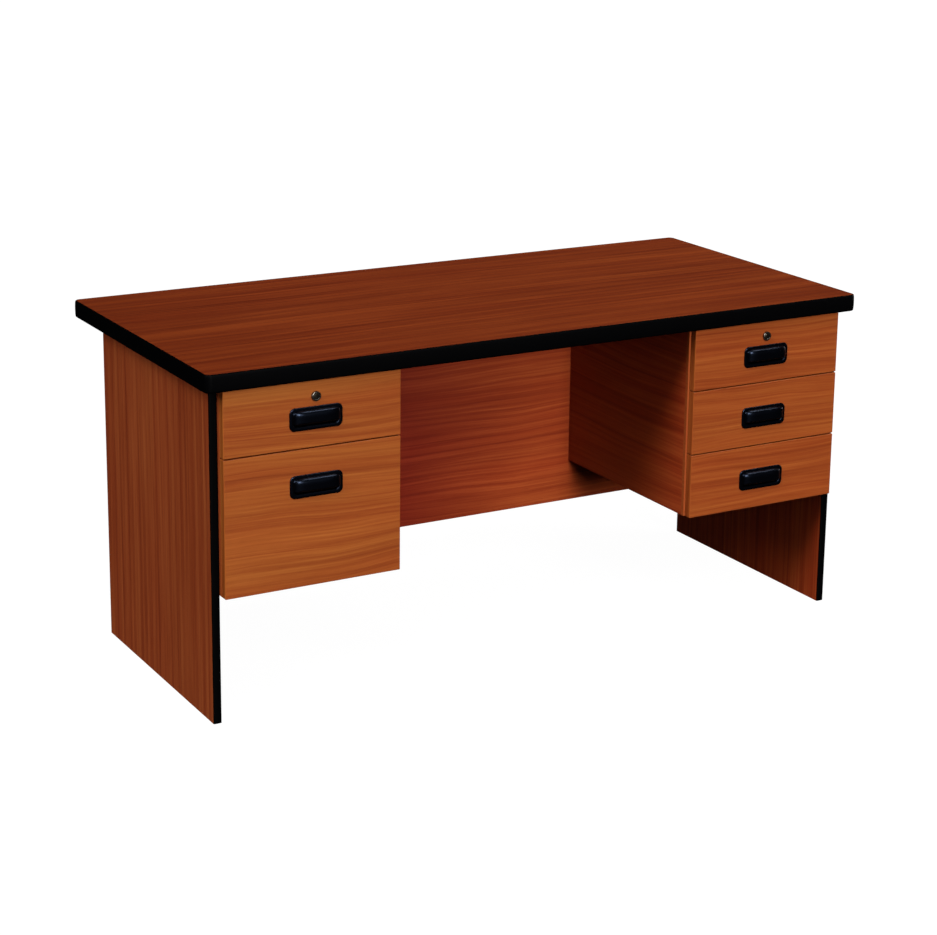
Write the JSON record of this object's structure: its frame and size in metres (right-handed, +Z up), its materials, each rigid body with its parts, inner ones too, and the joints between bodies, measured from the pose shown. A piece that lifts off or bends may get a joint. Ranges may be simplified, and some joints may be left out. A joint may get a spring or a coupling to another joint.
{
  "type": "teacher desk",
  "caption": "Double-pedestal office desk: laminate worktop with black edge moulding on two panel ends, modesty panel, box drawers, a file drawer, cup pulls and cam locks.",
  "frame": {"origin": "on the floor under the middle of the worktop", "axes": "+Z up, -Y towards the person sitting at the desk, +X along the desk to that person's right"},
  "size_m": [1.61, 0.75, 0.75],
  "materials": {
    "worktop_laminate": "satin cherry-red wood-grain laminate, grain along the desk",
    "panel_laminate": "satin cherry-red wood-grain laminate",
    "drawer_front_laminate": "satin wood-grain laminate, lighter, grain across the drawer",
    "edge_moulding": "black extruded plastic, semi-matt",
    "pull_plastic": "black moulded plastic, satin gloss",
    "drawer_box_board": "pale foil-faced board",
    "slide_steel": "zinc-plated rolled steel",
    "lock_chrome": "bright chrome plate"
  },
  "bodies": {
    "desk": {"worktop_board": "worktop_laminate", "worktop_edge_moulding": "edge_moulding", "modesty_panel": "panel_laminate", "left_end_panel": "panel_laminate", "left_end_panel_edge_moulding": "edge_moulding", "left_pedestal_knee_side": "panel_laminate", "left_pedestal_outer_side": "panel_laminate", "left_pedestal_bottom": "panel_laminate", "left_lock_strike": "slide_steel", "right_end_panel": "panel_laminate", "right_end_panel_edge_moulding": "edge_moulding", "right_pedestal_knee_side": "panel_laminate", "right_pedestal_outer_side": "panel_laminate", "right_pedestal_bottom": "panel_laminate", "right_lock_strike": "slide_steel", "left_top_drawer_knee_slide_channel": "slide_steel", "left_top_drawer_outer_slide_channel": "slide_steel", "left_file_drawer_knee_slide_channel": "slide_steel", "left_file_drawer_outer_slide_channel": "slide_steel", "right_top_drawer_knee_slide_channel": "slide_steel", "right_top_drawer_outer_slide_channel": "slide_steel", "right_middle_drawer_knee_slide_channel": "slide_steel", "right_middle_drawer_outer_slide_channel": "slide_steel", "right_bottom_drawer_knee_slide_channel": "slide_steel", "right_bottom_drawer_outer_slide_channel": "slide_steel"},
    "left_top_drawer": {"left_top_drawer_front": "drawer_front_laminate", "left_top_drawer_pull": "pull_plastic", "left_top_drawer_box_wrap": "drawer_box_board", "left_top_drawer_box_floor": "drawer_box_board", "left_top_drawer_knee_slide_rail": "slide_steel", "left_top_drawer_outer_slide_rail": "slide_steel", "left_lock_barrel": "lock_chrome"},
    "left_lock": {"left_lock_plug": "lock_chrome"},
    "left_file_drawer": {"left_file_drawer_front": "drawer_front_laminate", "left_file_drawer_pull": "pull_plastic", "left_file_drawer_box_wrap": "drawer_box_board", "left_file_drawer_box_floor": "drawer_box_board", "left_file_drawer_knee_slide_rail": "slide_steel", "left_file_drawer_outer_slide_rail": "slide_steel"},
    "right_top_drawer": {"right_top_drawer_front": "drawer_front_laminate", "right_top_drawer_pull": "pull_plastic", "right_top_drawer_box_wrap": "drawer_box_board", "right_top_drawer_box_floor": "drawer_box_board", "right_top_drawer_knee_slide_rail": "slide_steel", "right_top_drawer_outer_slide_rail": "slide_steel", "right_lock_barrel": "lock_chrome"},
    "right_lock": {"right_lock_plug": "lock_chrome"},
    "right_middle_drawer": {"right_middle_drawer_front": "drawer_front_laminate", "right_middle_drawer_pull": "pull_plastic", "right_middle_drawer_box_wrap": "drawer_box_board", "right_middle_drawer_box_floor": "drawer_box_board", "right_middle_drawer_knee_slide_rail": "slide_steel", "right_middle_drawer_outer_slide_rail": "slide_steel"},
    "right_bottom_drawer": {"right_bottom_drawer_front": "drawer_front_laminate", "right_bottom_drawer_pull": "pull_plastic", "right_bottom_drawer_box_wrap": "drawer_box_board", "right_bottom_drawer_box_floor": "drawer_box_board", "right_bottom_drawer_knee_slide_rail": "slide_steel", "right_bottom_drawer_outer_slide_rail": "slide_steel"}
  },
  "joints": [
    {"name": "left_top_drawer_slide", "type": "slide", "parent": "desk", "child": "left_top_drawer", "axis": [0, -1, 0], "range_m": [0, 0.34]},
    {"name": "left_lock_turn", "type": "hinge", "parent": "left_top_drawer", "child": "left_lock", "pos_m": [-0.5613, -0.3624, 0.6767], "axis": [0, -1, 0], "range_deg": [0, 90]},
    {"name": "left_file_drawer_slide", "type": "slide", "parent": "desk", "child": "left_file_drawer", "axis": [0, -1, 0], "range_m": [0, 0.34]},
    {"name": "right_top_drawer_slide", "type": "slide", "parent": "desk", "child": "right_top_drawer", "axis": [0, -1, 0], "range_m": [0, 0.34]},
    {"name": "right_lock_turn", "type": "hinge", "parent": "right_top_drawer", "child": "right_lock", "pos_m": [0.5613, -0.3624, 0.6767], "axis": [0, -1, 0], "range_deg": [0, 90]},
    {"name": "right_middle_drawer_slide", "type": "slide", "parent": "desk", "child": "right_middle_drawer", "axis": [0, -1, 0], "range_m": [0, 0.34]},
    {"name": "right_bottom_drawer_slide", "type": "slide", "parent": "desk", "child": "right_bottom_drawer", "axis": [0, -1, 0], "range_m": [0, 0.34]}
  ]
}
